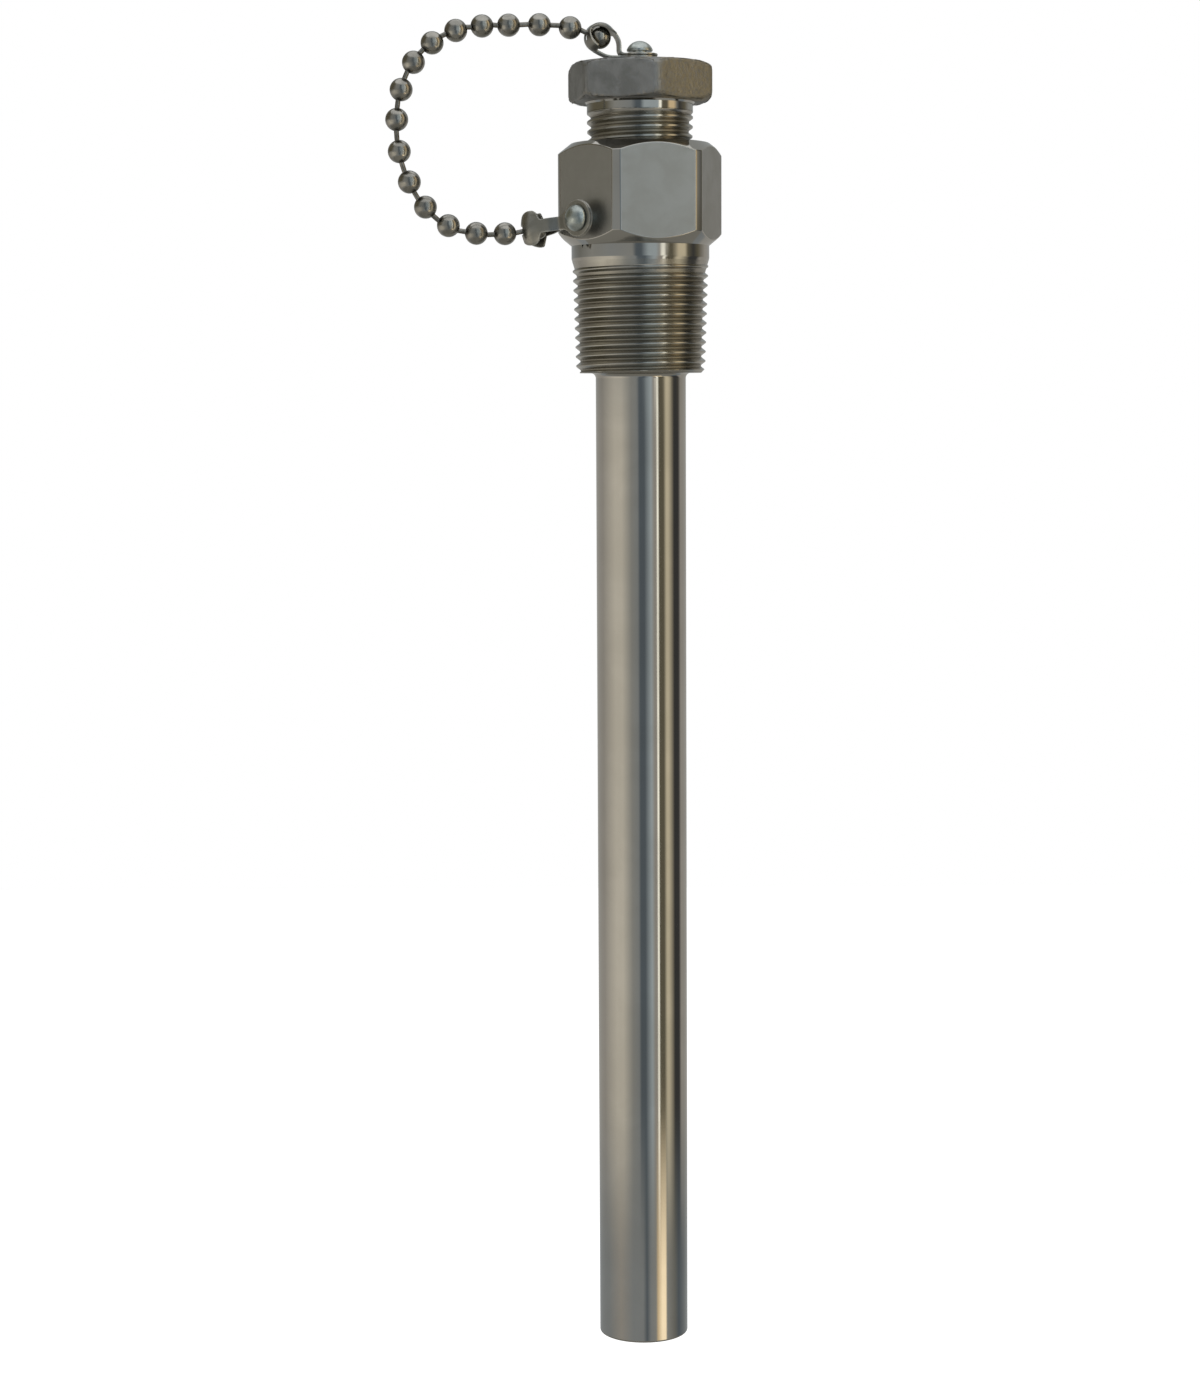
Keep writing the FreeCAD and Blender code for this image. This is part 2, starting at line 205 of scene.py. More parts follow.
round_share = calc("MULTIPLY_ADD", azimuth, 1 / (2 * math.pi), 0.5)
paints = {
    shade: (*[part / boards_strength for part in light], 1) for shade, light in shades.items()
}
colour = None
for height, stops in boards:
    ramp = put(boards_tree, "ShaderNodeValToRGB", {"Fac": round_share})
    elements = ramp.color_ramp.elements
    for degrees, shade in stops[1:-1]:
        elements.new(degrees / 360 + 0.5).color = paints[shade]
    for end in (0, -1):
        elements[end].color = paints[stops[end][1]]
    if colour is None:
        colour, last_height = ramp.outputs[0], height
        continue
    lower = put(boards_tree, "ShaderNodeMapRange", {
        "Value": place["Z"], "From Min": last_height, "From Max": height,
    })
    colour = put(boards_tree, "ShaderNodeMix", {
        0: lower.outputs[0], 6: colour, 7: ramp.outputs[0],
    }, data_type="RGBA").outputs[2]
    last_height = height
boards_glow = put(boards_tree, "ShaderNodeEmission", {"Color": colour, "Strength": boards_strength})
put(boards_tree, "ShaderNodeOutputMaterial", {"Surface": boards_glow.outputs[0]})
boards_mesh.materials.append(boards_paint)
boards_ring = added("boards", boards_mesh)
glossy_only(boards_ring)

low_board_drop = 420 * MM
low_board = added("low board", bpy.data.meshes.new("low board"))
low_board.data.from_pydata([(*spot, -low_board_drop) for spot in rim], [], [range(boards_sides)])
low_paint, low_tree = bare_paint("low board")
low_glow = put(low_tree, "ShaderNodeEmission", {"Color": (0.30, 0.29, 0.26, 1), "Strength": 1.0})
put(low_tree, "ShaderNodeOutputMaterial", {"Surface": low_glow.outputs[0]})
low_board.data.materials.append(low_paint)
glossy_only(low_board)

for name, where, width, power in (
    ("key lamp", (-0.55, -0.75, 0.55), 0.6, 7.0),
    ("fill lamp", (0.8, -0.5, 0.25), 0.6, 3.0),
    ("back lamp", (0.3, 0.8, 0.6), 0.5, 3.0),
):
    lamp = added(name, bpy.data.lights.new(name, "AREA"))
    lamp.data.size = width
    lamp.data.energy = power
    lamp.location = where
    lamp.rotation_euler = (aim - Vector(where)).to_track_quat("-Z", "Y").to_euler()
    lamp.visible_glossy = False


# Well body. One bar of stainless steel, gun-drilled from its top end, with its stem,
# taper pipe thread and collar turned on it and the bar's own hexagon left as the head.
stem_radius = 8.73 * MM
stem_length = 190.5 * MM
tip_break = 0.3 * MM
stem_fillet = 1.0 * MM
thread_length = 21.4 * MM
thread_start_radius = 12.48 * MM
pipe_radius = 13.3 * MM
thread_pitch = 25.4 / 14 * MM
thread_depth = 0.85 * MM
thread_flat = 0.14
thread_run_out = 3.2 * MM
thread_start_angle = math.radians(-90)
thread_inner_radius = 9.2 * MM
thread_spare = 0.3 * MM
thread_lap = 0.1 * MM
pipe_taper = 1 / 16
core_radius = 11.0 * MM
core_bottom = 0.5 * MM
core_lap = 2 * MM
hexagon_bottom = 24.35 * MM
body_top = 43.85 * MM
body_across_flats = 28.575 * MM
body_corner_radius = 16.05 * MM
body_crown_radius = 13.3 * MM
body_top_slope = math.radians(38)
body_foot_slope = math.radians(40)
body_flat_azimuth = math.radians(-135)
body_flats_turn = math.radians(-2)
body_corner_round = 0.1 * MM
body_hexagon_lap = 1 * MM
body_foot_hidden = 0.6 * MM
body_edge = 0.15 * MM
flat_least_area = 40 * MM * MM
port_radius = 9.925 * MM
port_depth = 14.5 * MM
port_mouth = 0.7 * MM
port_clearance = 1 * MM
bore_radius = 4.89 * MM
tip_wall = 6.35 * MM
drill_slope = math.tan(math.radians(31))

# How near two points have to be to count as one: in a mesh, and where a tree's grid closes.
same_place = 1e-7
grid_seam = 2e-6


def node_tree(name, kind, inputs, outputs):
    """An empty node tree with named sockets, and the sockets inside it to build between."""
    tree = bpy.data.node_groups.new(name, kind)
    for socket, sort, value in inputs:
        made = tree.interface.new_socket(socket, in_out="INPUT", socket_type="NodeSocket" + sort)
        if value is not None:
            made.default_value = value
    for socket, sort in outputs:
        tree.interface.new_socket(socket, in_out="OUTPUT", socket_type="NodeSocket" + sort)
    return tree, tree.nodes.new("NodeGroupInput").outputs, tree.nodes.new("NodeGroupOutput").inputs


def turned_grain():
    """Fine rings left by the lathe, close along the axis and drawn out round it."""
    tree, given, result = node_tree("turned grain", "ShaderNodeTree", [
        ("Along", "Float", 9000.0), ("Around", "Float", 90.0),
    ], [("Height", "Float")])
    place = put(tree, "ShaderNodeTexCoord").outputs["Object"]
    stretch = put(tree, "ShaderNodeCombineXYZ", {
        0: given["Around"], 1: given["Around"], 2: given["Along"],
    })
    lines = put(tree, "ShaderNodeVectorMath", {
        0: place, 1: stretch.outputs[0],
    }, operation="MULTIPLY")
    grain = put(tree, "ShaderNodeTexNoise", {
        "Vector": lines.outputs[0], "Scale": 1.0, "Detail": 2.0, "Roughness": 0.6,
    })
    tree.links.new(grain.outputs["Fac"], result["Height"])
    return tree


def patches():
    """Soft patches in which a finish is a little duller or brighter than beside them."""
    tree, given, result = node_tree("patches", "ShaderNodeTree", [
        ("Size", "Float", 0.01), ("From", "Float", 0.35), ("To", "Float", 0.7),
    ], [("Mask", "Float")])
    calc = calculator(tree)
    place = put(tree, "ShaderNodeTexCoord").outputs["Object"]
    cloud = put(tree, "ShaderNodeTexNoise", {
        "Vector": place, "Scale": calc("DIVIDE", 1.0, given["Size"]),
        "Detail": 4.0, "Roughness": 0.55, "Distortion": 0.4,
    })
    spread = put(tree, "ShaderNodeMapRange", {
        "Value": cloud.outputs["Fac"], "From Min": given["From"], "From Max": given["To"],
    }, interpolation_type="SMOOTHSTEP")
    tree.links.new(spread.outputs[0], result["Mask"])
    return tree


def cast_skin():
    """The pebbled skin of a sand casting, with small pits in it."""
    tree, given, result = node_tree("cast skin", "ShaderNodeTree", [
        ("Pebble", "Float", 0.0006), ("Pits", "Float", 0.3),
    ], [("Height", "Float")])
    calc = calculator(tree)
    place = put(tree, "ShaderNodeTexCoord").outputs["Object"]
    pebbles = put(tree, "ShaderNodeTexNoise", {
        "Vector": place, "Scale": calc("DIVIDE", 1.0, given["Pebble"]),
        "Detail": 5.0, "Roughness": 0.62,
    })
    holes = put(tree, "ShaderNodeTexVoronoi", {
        "Vector": place, "Scale": calc("DIVIDE", 0.45, given["Pebble"]),
    }, feature="SMOOTH_F1")
    pit = put(tree, "ShaderNodeMapRange", {
        "Value": holes.outputs["Distance"], "From Min": 0.30, "From Max": 0.08,
    }, interpolation_type="SMOOTHSTEP").outputs[0]
    sunk = calc("MULTIPLY", pit, given["Pits"])
    tree.links.new(calc("SUBTRACT", pebbles.outputs["Fac"], sunk), result["Height"])
    return tree


def edge_wear():
    """A mask that is white along outer edges, where handling has rubbed them bright."""
    tree, given, result = node_tree("edge wear", "ShaderNodeTree", [
        ("Width", "Float", 0.0004), ("Reach", "Float", 0.15),
    ], [("Mask", "Float")])
    calc = calculator(tree)
    rounded = put(tree, "ShaderNodeBevel", {"Radius": given["Width"]}, samples=4)
    straight = put(tree, "ShaderNodeNewGeometry").outputs["Normal"]
    lean = put(tree, "ShaderNodeVectorMath", {
        0: rounded.outputs[0], 1: straight,
    }, operation="DOT_PRODUCT").outputs["Value"]
    worn = put(tree, "ShaderNodeMapRange", {
        "Value": calc("SUBTRACT", 1.0, lean), "From Min": 0.005, "From Max": given["Reach"],
    })
    tree.links.new(worn.outputs[0], result["Mask"])
    return tree


skins = {"turned": turned_grain(), "patches": patches(), "cast": cast_skin(), "wear": edge_wear()}


def mixed(tree, share, one, other):
    """A colour between two others."""
    return put(tree, "ShaderNodeMix", {0: share, 6: one, 7: other}, data_type="RGBA").outputs[2]


worn_smoother = 0.12
# How much rougher the steel is where shade is painted.
painted_shade_rougher = 0.2


def metal(name, bright, dull, roughness, skin, skin_sizes, depth, patch_size, spread=0.12,
          worn=None, painted_shade=None):
    """A metal finish: two shades in patches, a grain or cast skin, edges rubbed bright, and
    painted shade in a darker colour of its own where one of the mesh's attributes says."""
    made, tree = bare_paint(name)
    calc = calculator(tree)
    patch = put(tree, "ShaderNodeGroup", node_tree=skins["patches"])
    patch.inputs["Size"].default_value = patch_size
    surface = put(tree, "ShaderNodeGroup", node_tree=skins[skin])
    for socket, value in skin_sizes.items():
        surface.inputs[socket].default_value = value
    colour = mixed(tree, patch.outputs["Mask"], (*dull, 1), (*bright, 1))
    rough = calc("MULTIPLY_ADD", patch.outputs["Mask"], -spread, roughness + spread / 2)
    if worn:
        wear = put(tree, "ShaderNodeGroup", node_tree=skins["wear"])
        colour = mixed(tree, wear.outputs["Mask"], colour, (*worn, 1))
        rough = calc("MULTIPLY_ADD", wear.outputs["Mask"], -worn_smoother, rough)
    # Painted shade: where the named attribute says, the base colour is mixed towards a darker
    # colour that stands in for the shade in thread grooves and in and round bead holes. The steel
    # is also rougher there.
    if painted_shade:
        attribute, shade = painted_shade
        shade_share = put(tree, "ShaderNodeAttribute", attribute_name=attribute).outputs["Fac"]
        colour = mixed(tree, shade_share, colour, (*shade, 1))
        rough = calc("MULTIPLY_ADD", shade_share, painted_shade_rougher, rough)
    bump = put(tree, "ShaderNodeBump", {
        "Height": surface.outputs["Height"], "Distance": depth, "Strength": 1.0,
    })
    steel = put(tree, "ShaderNodeBsdfPrincipled", {
        "Base Color": colour, "Metallic": 1.0, "Roughness": rough,
        "Normal": bump.outputs[0],
    })
    put(tree, "ShaderNodeOutputMaterial", {"Surface": steel.outputs[0]})
    return made


def welded_at(tree, geometry, spot):
    """A tree's grid moved to its places, with the edges that meet there joined."""
    moved = put(tree, "GeometryNodeSetPosition", {"Geometry": geometry, "Position": spot})
    return put(tree, "GeometryNodeMergeByDistance", {
        "Geometry": moved.outputs[0], "Distance": grid_seam,
    }).outputs[0]


def made_real(tree, geometry, material):
    """The end of a tree: its geometry as a real mesh with its material."""
    real = put(tree, "GeometryNodeRealizeInstances", {"Geometry": geometry})
    return put(tree, "GeometryNodeSetMaterial", {
        "Geometry": real.outputs[0], "Material": material,
    }).outputs[0]


def helical_thread():
    """A taper thread with its start chamfered and its last turns run out, as one helical strip."""
    chamfer_share = 0.9
    tree, given, result = node_tree("helical thread", "GeometryNodeTree", [
        ("Bottom", "Float", 0.0), ("Length", "Float", 0.02), ("Over Length", "Float", 0.003),
        ("Start Radius", "Float", 0.013), ("Widest Radius", "Float", 0.0133),
        ("Taper", "Float", 1 / 16), ("Pitch", "Float", 0.0018), ("Depth", "Float", 0.0014),
        ("Flat", "Float", 0.06), ("Run Out", "Float", 0.003), ("Start Angle", "Float", 0.0),
        ("Rows a Turn", "Int", 24), ("Sides", "Int", 96), ("Material", "Material", None),
    ], [("Geometry", "Geometry")])
    calc = calculator(tree)
    whole = calc("ADD", given["Length"], given["Over Length"])
    turns = calc("ADD", calc("CEIL", calc("DIVIDE", whole, given["Pitch"])), 1.0)
    rows = calc("MULTIPLY_ADD", turns, given["Rows a Turn"], 1.0)
    grid = put(tree, "GeometryNodeMeshGrid", {
        "Size X": 1.0, "Size Y": 1.0, "Vertices X": rows,
        "Vertices Y": calc("ADD", given["Sides"], 1.0),
    })
    place = put(tree, "GeometryNodeInputPosition").outputs[0]
    place = put(tree, "ShaderNodeSeparateXYZ", {0: place}).outputs
    phase = calc("MULTIPLY", calc("ADD", place["X"], 0.5), turns)
    share = calc("ADD", place["Y"], 0.5)
    up = calc("MULTIPLY", calc("SUBTRACT", calc("ADD", phase, share), 1.0), given["Pitch"])
    wave = calc("ABSOLUTE", calc("MULTIPLY_ADD", calc("FRACT", phase), 2.0, -1.0))
    flank = put(tree, "ShaderNodeMapRange", {
        "Value": wave, "From Min": given["Flat"], "From Max": calc("SUBTRACT", 1.0, given["Flat"]),
    }).outputs[0]
    cone = calc("MULTIPLY_ADD", up, calc("MULTIPLY", given["Taper"], 0.5), given["Start Radius"])
    root = calc("SUBTRACT", cone, given["Depth"])
    radius = calc("MULTIPLY_ADD", flank, given["Depth"], root)
    rising = calc("SUBTRACT", up, calc("SUBTRACT", given["Length"], given["Run Out"]))
    slope = calc("DIVIDE", given["Depth"], given["Run Out"])
    radius = calc("MAXIMUM", radius, calc("MULTIPLY_ADD", rising, slope, root))
    radius = calc("MINIMUM", radius, given["Widest Radius"])
    start = calc("SUBTRACT", given["Start Radius"], calc("MULTIPLY", given["Depth"], chamfer_share))
    radius = calc("MINIMUM", radius, calc("MAXIMUM", calc("ADD", start, up), start))
    full = calc("MINIMUM", cone, given["Widest Radius"])
    # Groove: how deep each point lies below the full thread, squared, which the threaded steel
    # paints as shade.
    marked = put(tree, "GeometryNodeStoreNamedAttribute", {
        "Geometry": grid.outputs["Mesh"], "Name": "groove",
        "Value": calc("POWER", calc("DIVIDE", calc("SUBTRACT", full, radius), given["Depth"]), 2.0),
    }, data_type="FLOAT", domain="POINT")
    turn = calc("MULTIPLY_ADD", share, 2 * math.pi, given["Start Angle"])
    spot = put(tree, "ShaderNodeCombineXYZ", {
        0: calc("MULTIPLY", radius, calc("COSINE", turn)),
        1: calc("MULTIPLY", radius, calc("SINE", turn)),
        2: calc("ADD", up, given["Bottom"]),
    })
    strip = welded_at(tree, marked.outputs[0], spot.outputs[0])
    tree.links.new(made_real(tree, strip, given["Material"]), result["Geometry"])
    return tree


def evaluated_mesh(holder):
    """The plain mesh that an object's modifiers make."""
    bpy.context.view_layer.update()
    evaluated = holder.evaluated_get(bpy.context.evaluated_depsgraph_get())
    return bpy.data.meshes.new_from_object(evaluated)


def grown(tree, sizes):
    """The plain mesh that a Geometry Nodes tree makes with these sizes."""
    carrier = added(tree.name, bpy.data.meshes.new(tree.name))
    modifier = carrier.modifiers.new(tree.name, "NODES")
    modifier.node_group = tree
    for socket in tree.interface.items_tree:
        if socket.in_out == "INPUT" and socket.name in sizes:
            modifier[socket.identifier] = sizes[socket.name]
    mesh = evaluated_mesh(carrier)
    carrier.modifiers.remove(modifier)
    bpy.data.objects.remove(carrier)
    return mesh


def ended(mesh, low, high, inner_radius):
    """A thread's strip cut level at both ends, each end turned in as a flat face."""
    made = bmesh.new()
    made.from_mesh(mesh)
    for height, outward in ((low, -1), (high, 1)):
        bmesh.ops.bisect_plane(
            made, geom=made.verts[:] + made.edges[:] + made.faces[:], dist=same_place,
            plane_co=(0, 0, height), plane_no=(0, 0, outward), clear_outer=True,
        )
    rims = [edge for edge in made.edges if edge.is_boundary]
    grown_in = bmesh.ops.extrude_edge_only(made, edges=rims)["geom"]
    for vertex in (v for v in grown_in if isinstance(v, bmesh.types.BMVert)):
        shrink = inner_radius / math.hypot(vertex.co.x, vertex.co.y)
        vertex.co.x *= shrink
        vertex.co.y *= shrink
    bmesh.ops.recalc_face_normals(made, faces=made.faces[:])
    if sum(f.calc_center_median().xy.dot(f.normal.xy) for f in made.faces) < 0:
        bmesh.ops.reverse_faces(made, faces=made.faces[:])
    made.to_mesh(mesh)
    made.free()
    return mesh


def lathe(name, outline, sides=128):
    """A closed mesh turned about Z from (radius, height) points."""
    made = bmesh.new()
    rings = []
    for radius, height in outline:
        turns = [2 * math.pi * k / sides for k in range(sides if radius else 1)]
        rings.append([
            made.verts.new((radius * math.cos(t), radius * math.sin(t), height)) for t in turns
        ])
    for low, high in zip(rings, rings[1:]):
        for k in range(sides):
            below = [low[n % len(low)] for n in (k, k + 1)]
            above = [high[n % len(high)] for n in (k + 1, k)]
            made.faces.new(dict.fromkeys(below + above))
    bmesh.ops.remove_doubles(made, verts=made.verts[:], dist=same_place)
    bmesh.ops.recalc_face_normals(made, faces=made.faces[:])
    mesh = bpy.data.meshes.new(name)
    made.to_mesh(mesh)
    made.free()
    return mesh


def arc(middle, radius, start, end, steps):
    """Points along an arc in the outline's plane, with the angles in degrees."""
    turns = [math.radians(start + (end - start) * k / steps) for k in range(steps + 1)]
    return [(middle[0] + radius * math.cos(t), middle[1] + radius * math.sin(t)) for t in turns]


def hexagon(name, across_flats, bottom, top, flat_azimuth, corner_round, steps):
    """A hexagonal bar with rounded corners and the middle of one flat at the given azimuth."""
    reach = (across_flats / 2 - corner_round) / math.cos(math.radians(30))
    section = []
    for k in range(6):
        corner = math.degrees(flat_azimuth) + 30 + 60 * k
        middle = (reach * math.cos(math.radians(corner)), reach * math.sin(math.radians(corner)))
        section += arc(middle, corner_round, corner - 30, corner + 30, steps)
    count = len(section)
    mesh = bpy.data.meshes.new(name)
    mesh.from_pydata(
        [(x, y, z) for z in (bottom, top) for x, y in section], [],
        [tuple(range(count - 1, -1, -1)), tuple(range(count, 2 * count))]
        + [(k, (k + 1) % count, (k + 1) % count + count, k + count) for k in range(count)],
    )
    return mesh


def machined(name, blank, cuts, edge, edge_steps=2):
    """A blank after a list of joins, trims and cuts, with its edges rounded over."""
    work = added(name, blank)
    tools = []
    for operation, tool_mesh in cuts:
        tools.append(added(name + " tool", tool_mesh))
        step = work.modifiers.new(operation, "BOOLEAN")
        step.operation = operation
        step.object = tools[-1]
        step.solver = "EXACT"
    rounding = work.modifiers.new("rounding", "BEVEL")
    rounding.width = edge
    rounding.segments = edge_steps
    rounding.limit_method = "ANGLE"
    rounding.angle_limit = math.radians(25)
    rounding.use_clamp_overlap = False
    mesh = evaluated_mesh(work)
    mesh.name = name
    for made in [work, *tools]:
        bpy.data.objects.remove(made)
    return mesh


def piece(name, meshes, materials, choose=None, crease=30):
    """One object from several meshes, smooth but for its creases, with a material on each face."""
    joined = bmesh.new()
    for mesh in meshes:
        mesh.materials.clear()
        joined.from_mesh(mesh)
    made = bpy.data.meshes.new(name)
    for material in materials:
        made.materials.append(material)
    for face in joined.faces:
        face.smooth = True
        face.material_index = choose(face) if choose else 0
    joined.to_mesh(made)
    joined.free()
    made.set_sharp_from_angle(angle=math.radians(crease))
    result = added(name, made)
    weighted = result.modifiers.new("weighted", "WEIGHTED_NORMAL")
    weighted.keep_sharp = True
    result.data = evaluated_mesh(result)
    result.modifiers.clear()
    return result


turned_steel = metal(
    "turned steel", (0.46, 0.45, 0.42), (0.42, 0.41, 0.38), 0.075,
    "turned", {"Along": 9000.0, "Around": 60.0}, 0.7e-6, 14 * MM, spread=0.04,
)
drawn_steel = metal(
    "drawn hexagon steel", (0.40, 0.40, 0.385), (0.37, 0.37, 0.35), 0.42,
    "turned", {"Along": 900.0, "Around": 6000.0}, 4e-6, 5 * MM, spread=0.05,
    worn=(0.62, 0.60, 0.55),
)
# Painted shade: the thread's grooves darken with the square of their depth, where the attribute
# groove says.
threaded_steel = metal(
    "threaded steel", (0.46, 0.45, 0.41), (0.38, 0.37, 0.34), 0.16,
    "turned", {"Along": 7000.0, "Around": 200.0}, 1.5e-6, 6 * MM, spread=0.08,
    painted_shade=("groove", (0.27, 0.255, 0.215)),
)
thread_tree = helical_thread()
process_thread = ended(grown(thread_tree, {
    "Bottom": 0.0, "Length": thread_length,
    "Over Length": hexagon_bottom - thread_length + thread_spare,
    "Start Radius": thread_start_radius, "Widest Radius": pipe_radius, "Taper": pipe_taper,
    "Pitch": thread_pitch, "Depth": thread_depth, "Flat": thread_flat,
    "Run Out": thread_run_out, "Start Angle": thread_start_angle, "Material": threaded_steel,
}), 0.0, hexagon_bottom + thread_lap, thread_inner_radius)

stem = lathe("stem", [
    (0, -stem_length), (stem_radius - tip_break, -stem_length),
    (stem_radius, -stem_length + tip_break),
    *arc((stem_radius + stem_fillet, -stem_fillet), stem_fillet, 180, 90, 8),
    (stem_radius + stem_fillet, core_bottom), (core_radius, core_bottom),
    (core_radius, hexagon_bottom + core_lap), (0, hexagon_bottom + core_lap),
])
body_hexagon = hexagon(
    "body hexagon", body_across_flats, hexagon_bottom - body_hexagon_lap, body_top,
    body_flat_azimuth + body_flats_turn, body_corner_round, 2,
)
foot_rise = (body_corner_radius - pipe_radius) * math.tan(body_foot_slope)
foot_start = hexagon_bottom - body_foot_hidden * math.tan(body_foot_slope)
top_drop = (body_corner_radius - body_crown_radius) * math.tan(body_top_slope)
body_chamfers = lathe("body chamfers", [
    (0, foot_start), (pipe_radius - body_foot_hidden, foot_start),
    (body_corner_radius, hexagon_bottom + foot_rise), (body_corner_radius, body_top - top_drop),
    (body_crown_radius, body_top), (0, body_top),
], 180)
# Turned so that its facets start on the hexagon's corners, because a facet that ends just
# beside a flat leaves slivers there.
body_chamfers.transform(Matrix.Rotation(
    body_flat_azimuth + body_flats_turn + math.radians(30), 4, "Z"
))
port_floor = body_top - port_depth
bore_floor = -stem_length + tip_wall
port_and_bore = lathe("port and bore", [
    (0, bore_floor), (bore_radius, bore_floor + bore_radius * drill_slope),
    (bore_radius, port_floor - (port_radius - bore_radius) * drill_slope),
    (port_radius, port_floor), (port_radius, body_top - port_mouth),
    (port_radius + port_mouth, body_top),
    (port_radius + port_mouth, body_top + port_clearance), (0, body_top + port_clearance),
], 96)
head = machined("head", body_hexagon, [
    ("INTERSECT", body_chamfers), ("UNION", stem), ("DIFFERENCE", port_and_bore),
], body_edge)


def well_finish(face):
    """The bar's drawn flats, the thread that was cut on it, and the rest, turned."""
    middle = face.calc_center_median()
    flat = abs(face.normal.z) < 0.02 and face.calc_area() > flat_least_area
    if flat and middle.z > hexagon_bottom:
        return 1
    return 2 if 0 <= middle.z < thread_length and middle.xy.length > core_radius else 0


well = piece(
    "well", [process_thread, head], [turned_steel, drawn_steel, threaded_steel], well_finish
)
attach(well, "well")
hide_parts("well_body")


# Plug. A cast steel pipe plug with a hexagon head; only its thread and neck are turned,
# and its head keeps the rough skin and soft corners of the mould.
plug_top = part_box("plug")[1].z
plug_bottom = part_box("plug")[0].z
plug_head_height = 7.45 * MM
plug_head_edge = 0.5 * MM
plug_head_lap = 1 * MM
head_bottom = plug_top - plug_head_height
neck_height = 1.8 * MM
neck_bottom = head_bottom - neck_height
neck_radius = 10.2 * MM
neck_fillet = 0.35 * MM
plug_across_flats = 25.4 * MM
plug_corner_round = 2.0 * MM
plug_corner_radius = 14.5 * MM
plug_crown_radius = 12.2 * MM
plug_crown_drop = 2.2 * MM
plug_foot_radius = 12.0 * MM
plug_foot_rise = 2.0 * MM
plug_flat_azimuth = math.radians(-107.4)
plug_thread_radius = 9.84 * MM
plug_thread_depth = 0.74 * MM
plug_thread_flat = 0.2
plug_thread_run_out = 1.0 * MM
plug_thread_start_angle = math.radians(60)
plug_thread_inner_radius = 6 * MM
plug_thread_spare = 0.4 * MM
plug_core_radius = 8.6 * MM
plug_core_bottom = plug_bottom + 0.3 * MM
bloom_spot = Vector((9.5 * MM, -9.0 * MM, plug_top - 3.5 * MM))
bloom_reach = 9 * MM


def rusty_bloom(material, shade, where, reach):
    """A thin brown bloom on a finish, thickest round a spot."""
    tree = material.node_tree
    calc = calculator(tree)
    shader = next(node for node in tree.nodes if node.type == "BSDF_PRINCIPLED")
    plain = shader.inputs["Base Color"].links[0].from_socket
    place = put(tree, "ShaderNodeTexCoord").outputs["Object"]
    distance = put(tree, "ShaderNodeVectorMath", {0: place, 1: where}, operation="DISTANCE")
    near = put(tree, "ShaderNodeMapRange", {
        "Value": distance.outputs["Value"], "From Min": reach, "From Max": reach * 0.65,
    }, interpolation_type="SMOOTHSTEP").outputs[0]
    mottle = put(tree, "ShaderNodeTexNoise", {
        "Vector": place, "Scale": 1400.0, "Detail": 3.0, "Roughness": 0.7,
    }).outputs["Fac"]
    share = calc("MULTIPLY", near, calc("MULTIPLY_ADD", mottle, 3.0, -0.75))
    share = calc("MINIMUM", share, 1.0)
    tree.links.new(mixed(tree, share, plain, (*shade, 1)), shader.inputs["Base Color"])


cast_steel = metal(
    "cast steel", (0.32, 0.325, 0.325), (0.255, 0.26, 0.255), 0.58,
    "cast", {"Pebble": 0.0007, "Pits": 0.35}, 0.16 * MM, 4 * MM, worn=(0.32, 0.31, 0.28),
)
rusty_bloom(cast_steel, (0.37, 0.33, 0.245), bloom_spot, bloom_reach)
plug_thread = ended(grown(thread_tree, {
    "Bottom": plug_bottom, "Length": neck_bottom - plug_bottom,
    "Over Length": plug_thread_spare, "Start Radius": plug_thread_radius,
    "Widest Radius": neck_radius, "Taper": pipe_taper, "Pitch": thread_pitch,
    "Depth": plug_thread_depth, "Flat": plug_thread_flat, "Run Out": plug_thread_run_out,
    "Start Angle": plug_thread_start_angle, "Material": threaded_steel,
}), plug_bottom, neck_bottom + thread_lap, plug_thread_inner_radius)
plug_core = lathe("plug core", [
    (0, plug_core_bottom), (plug_core_radius, plug_core_bottom),
    (plug_core_radius, neck_bottom), (neck_radius, neck_bottom),
    (neck_radius, head_bottom - neck_fillet), (neck_radius + neck_fillet, head_bottom),
    (neck_radius + neck_fillet, head_bottom + plug_head_lap), (0, head_bottom + plug_head_lap),
], 96)
plug_hexagon = hexagon(
    "plug hexagon", plug_across_flats, head_bottom, plug_top, plug_flat_azimuth,
    plug_corner_round, 8,
)
plug_envelope = lathe("plug envelope", [
    (0, head_bottom),
    *[(plug_foot_radius + r * (plug_corner_radius - plug_foot_radius),
       head_bottom + plug_foot_rise * (1 + z)) for r, z in arc((0, 0), 1, -90, 0, 10)],
    *[(plug_crown_radius + r * (plug_corner_radius - plug_crown_radius),
       plug_top - plug_crown_drop + z * plug_crown_drop) for r, z in arc((0, 0), 1, 0, 90, 10)],
    (0, plug_top),
], 144)
plug_head = machined(
    "plug head", plug_hexagon, [("INTERSECT", plug_envelope)], plug_head_edge, 4,
)


def plug_finish(face):
    """Cast from the head up, with a turned neck and a cut thread below it."""
    head_slack = 0.05 * MM
    height = face.calc_center_median().z
    if height > head_bottom - head_slack:
        return 0
    return 1 if height > neck_bottom else 2


plug = piece(
    "plug_body", [plug_thread, plug_core, plug_head], [cast_steel, turned_steel, threaded_steel],
    plug_finish, 35,
)
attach(plug, "plug")
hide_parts("plug")


# Drive rivets. Zinc-plated, domed, knocked into drilled holes with their heads left
# standing off, so that the clasps' eyelets turn freely under them.
rivet_head_radius = 2.5 * MM
rivet_head_height = 2.0 * MM
rivet_rim = 0.35 * MM
rivet_edge = 0.12 * MM
rivet_shank_radius = 1.45 * MM
rivet_length = 6.5 * MM
body_rivet_height = 29.1 * MM
body_rivet_standoff = 3.0 * MM

zinc = metal(
    "zinc plate", (0.50, 0.545, 0.53), (0.36, 0.40, 0.385), 0.30,
    "cast", {"Pebble": 0.0005, "Pits": 0.1}, 0.008 * MM, 1.5 * MM, worn=(0.78, 0.80, 0.78),
)


